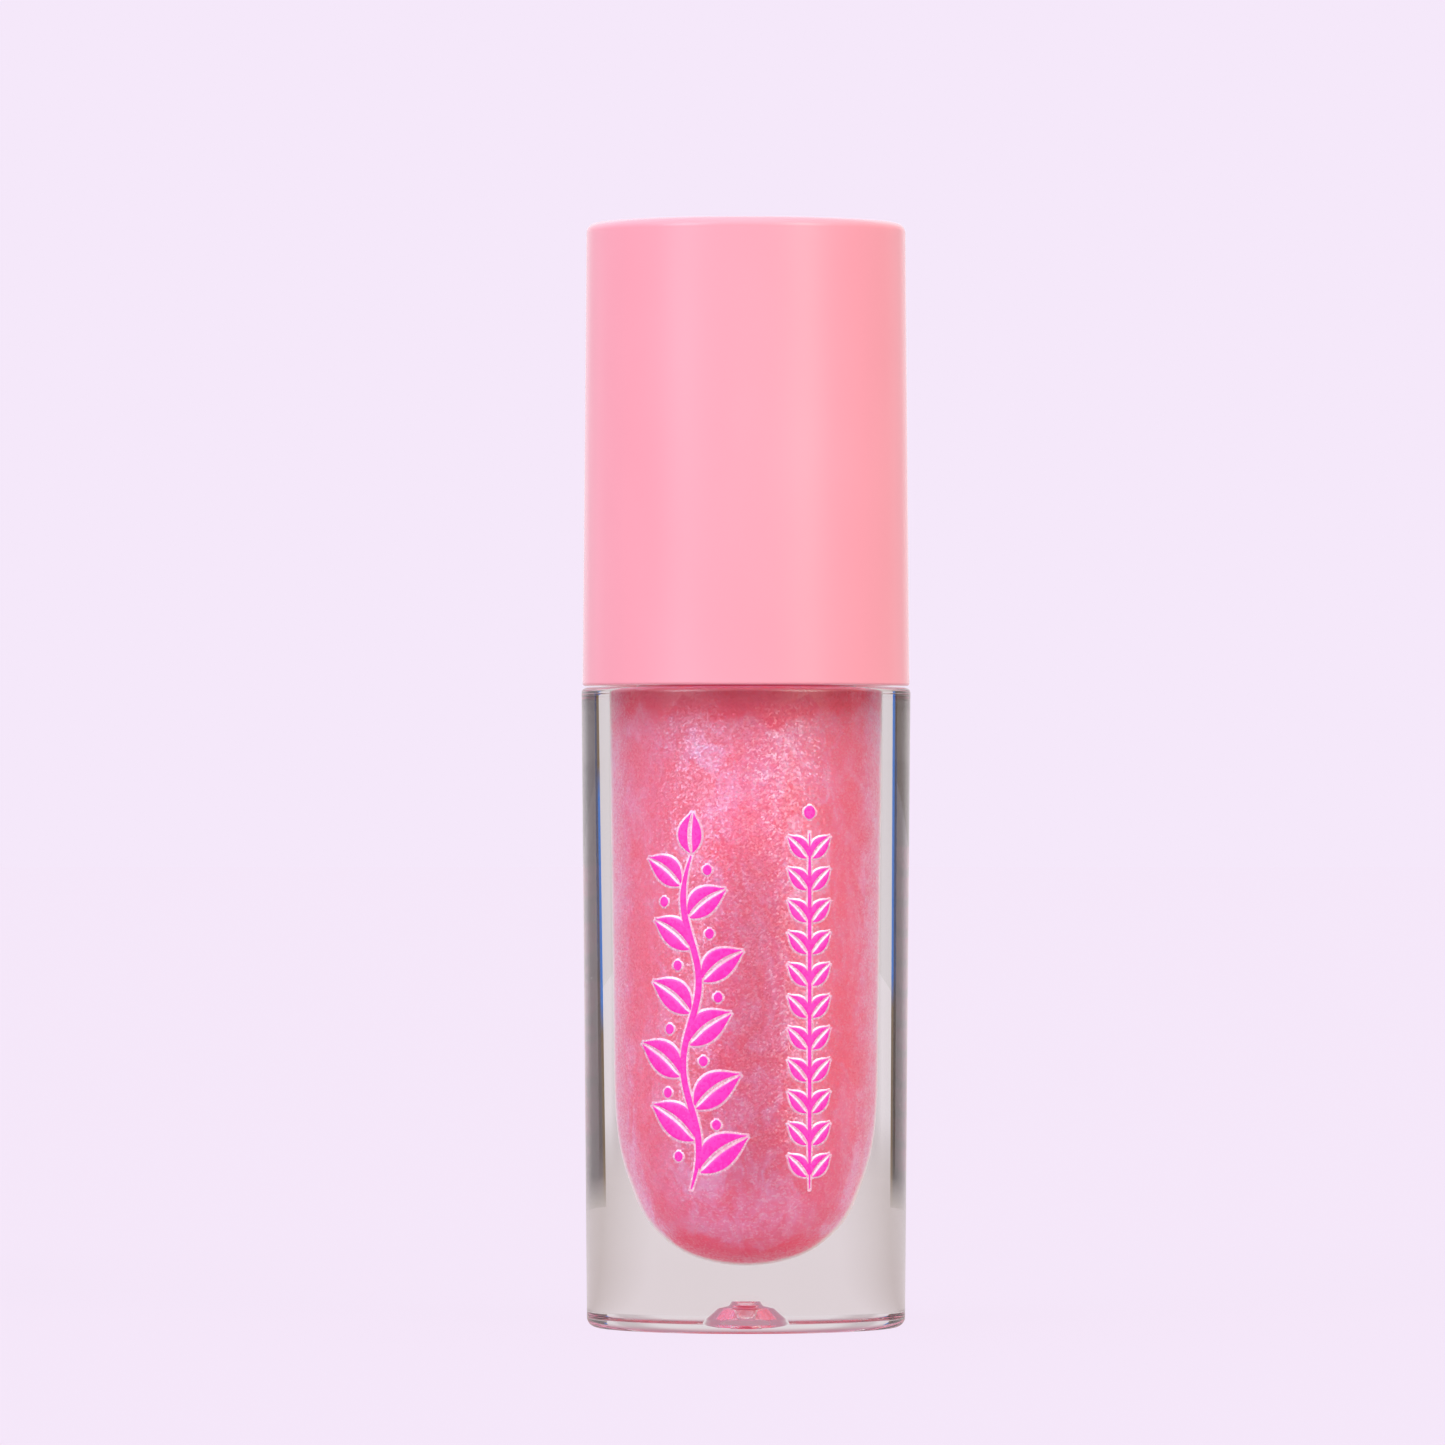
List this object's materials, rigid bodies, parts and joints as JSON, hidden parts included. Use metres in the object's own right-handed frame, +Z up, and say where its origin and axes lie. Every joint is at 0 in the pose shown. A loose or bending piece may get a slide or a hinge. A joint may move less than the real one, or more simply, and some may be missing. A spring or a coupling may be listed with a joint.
{
  "type": "lip gloss tube",
  "caption": "Round thick-walled clear lip gloss tube with a glossy screw cap and a doe-foot wand that turns and lifts out with it.",
  "frame": {"origin": "centre of the tube's base, on the surface it stands on", "axes": "+Z up along the tube's axis, +X the way the applicator's slanted face looks, -Y the front with the print"},
  "size_m": [0.022, 0.022, 0.0737],
  "materials": {
    "clear_plastic": "clear thick-walled PETG, polished",
    "gloss_fill": "pearly rose lip gloss, wet",
    "print_ink": "raised hot-pink print on the bottle",
    "wiper_plastic": "natural LDPE",
    "gasket_foam": "white expanded-PE washer",
    "inner_cap_plastic": "natural polypropylene",
    "overcap_plastic": "pink ABS, polished",
    "stem_plastic": "natural acetal",
    "tip_plastic": "natural TPE",
    "flock": "short nylon flocking, soaked with gloss"
  },
  "bodies": {
    "bottle_body": {"bottle": "clear_plastic", "gloss": "gloss_fill", "wiper": "wiper_plastic"},
    "gasket_body": {"gasket": "gasket_foam"},
    "cap_body": {"inner_cap": "inner_cap_plastic", "overcap": "overcap_plastic", "stem": "stem_plastic", "tip_core": "tip_plastic", "flocking": "flock"}
  },
  "joints": [
    {"name": "cap_lift", "type": "slide", "parent": "bottle_body", "child": "gasket_body", "axis": [0, 0, 1], "range_m": [0, 0.054]},
    {"name": "cap_turn", "type": "hinge", "parent": "gasket_body", "child": "cap_body", "pos_m": [0, 0, 0.0581], "axis": [0, 0, 1], "range_deg": [0, 3240]}
  ],
  "couplings": [
    {"joint": "cap_turn", "follows": "cap_lift", "rad_per_m": 1047.2}
  ]
}
